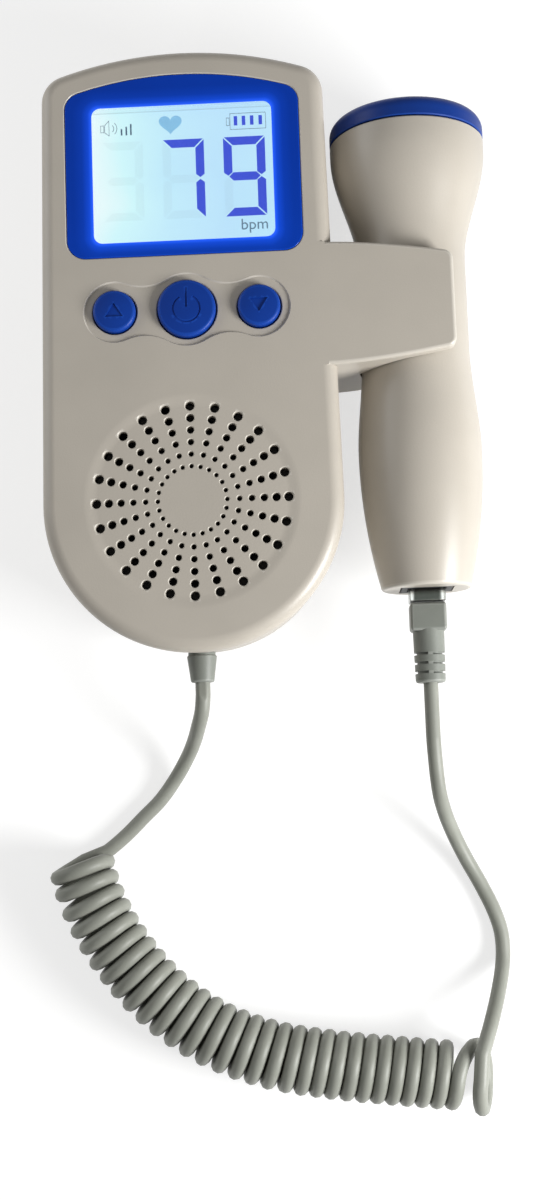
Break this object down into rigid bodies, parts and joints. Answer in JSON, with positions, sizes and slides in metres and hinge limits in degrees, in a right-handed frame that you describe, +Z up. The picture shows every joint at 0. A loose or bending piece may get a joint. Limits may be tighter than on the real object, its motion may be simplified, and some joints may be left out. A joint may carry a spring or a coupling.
{
  "type": "fetal doppler monitor",
  "caption": "Hand-held fetal doppler: display unit with round speaker end, side clip holding a turned ultrasound probe, and a curly cord between them.",
  "frame": {"origin": "middle of the display unit's flat rear face, which it lies on", "axes": "+X to the side with the clip and probe, +Y to the display end, +Z up out of the display"},
  "size_m": [0.1065, 0.2424, 0.0371],
  "materials": {
    "case_plastic": "fine satin moulded cream plastic",
    "blue_plastic": "glossy blue plastic",
    "lens_plastic": "printed blue border behind clear plastic",
    "cord_plastic": "smooth grey flexible plastic",
    "clear_plastic": "clear polycarbonate",
    "black_plastic": "black moulded plastic",
    "backlight_plastic": "lit pale blue light guide",
    "display_glass": "display glass with pale blue background",
    "strip_rubber": "striped conductive rubber",
    "board_laminate": "green solder mask",
    "plated_steel": "plated steel",
    "contact_gold": "thin gold plate",
    "ferrite": "dark sintered magnet",
    "cone_paper": "pressed black paper",
    "crystal_ceramic": "piezoelectric ceramic",
    "backing_resin": "filled resin",
    "cell_wrap": "plain shrink wrap over a steel can"
  },
  "bodies": {
    "unit": {"front_shell": "case_plastic", "rear_shell": "case_plastic", "display_lens": "lens_plastic", "lcd_panel": "display_glass", "lcd_backlight": "backlight_plastic", "lcd_connector_strip": "strip_rubber", "main_board": "board_laminate", "signal_processor": "black_plastic", "audio_amplifier": "black_plastic", "power_switch": "black_plastic", "volume_up_switch": "black_plastic", "volume_down_switch": "black_plastic", "speaker_frame": "plated_steel", "speaker_cone": "cone_paper", "speaker_magnet": "ferrite", "headphone_jack": "black_plastic", "case_screw_1": "plated_steel", "case_screw_2": "plated_steel", "case_screw_3": "plated_steel", "case_screw_4": "plated_steel", "case_screw_5": "plated_steel", "case_screw_6": "plated_steel", "board_screw_1": "plated_steel", "board_screw_2": "plated_steel", "battery_cell_left": "cell_wrap", "battery_cell_right": "cell_wrap", "battery_negative_plate": "plated_steel", "battery_positive_plate": "plated_steel", "battery_bridge_plate": "plated_steel", "battery_lower_spring": "plated_steel", "battery_upper_spring": "plated_steel", "cord_gland": "cord_plastic", "cord_unit_stretch": "cord_plastic", "cord_coil": "cord_plastic", "cord_probe_stretch": "cord_plastic"},
    "power_key": {"power_button": "blue_plastic", "power_switch_plunger": "black_plastic"},
    "volume_up_key": {"volume_up_button": "blue_plastic", "volume_up_switch_plunger": "black_plastic"},
    "volume_down_key": {"volume_down_button": "blue_plastic", "volume_down_switch_plunger": "black_plastic"},
    "door": {"battery_door": "case_plastic"},
    "probe": {"probe_body": "case_plastic", "probe_face_cap": "blue_plastic", "transmit_crystal": "crystal_ceramic", "receive_crystal": "crystal_ceramic", "acoustic_backing": "backing_resin", "probe_board": "board_laminate", "probe_socket": "black_plastic"},
    "plug": {"cord_plug": "clear_plastic", "plug_contact_1": "contact_gold", "plug_contact_2": "contact_gold", "plug_contact_3": "contact_gold", "plug_contact_4": "contact_gold", "cord_plug_boot": "cord_plastic"}
  },
  "joints": [
    {"name": "power_button_press", "type": "slide", "parent": "unit", "child": "power_key", "axis": [0, 0, -1], "range_m": [0, 0.0006], "stiffness_N_per_m": 1500},
    {"name": "volume_up_button_press", "type": "slide", "parent": "unit", "child": "volume_up_key", "axis": [0, 0, -1], "range_m": [0, 0.0006], "stiffness_N_per_m": 1500},
    {"name": "volume_down_button_press", "type": "slide", "parent": "unit", "child": "volume_down_key", "axis": [0, 0, -1], "range_m": [0, 0.0006], "stiffness_N_per_m": 1500},
    {"name": "battery_door_hinge", "type": "hinge", "parent": "unit", "child": "door", "pos_m": [0, 0.0049, 0], "axis": [-1, 0, 0], "range_deg": [0, 75]},
    {"name": "probe_clip_slide", "type": "slide", "parent": "unit", "child": "probe", "axis": [1, 0, 0], "range_m": [0, 0.045], "deforming": ["cord_probe_stretch"]},
    {"name": "plug_pull", "type": "slide", "parent": "probe", "child": "plug", "axis": [0, -1, 0], "range_m": [0, 0.012], "deforming": ["cord_probe_stretch"]}
  ]
}
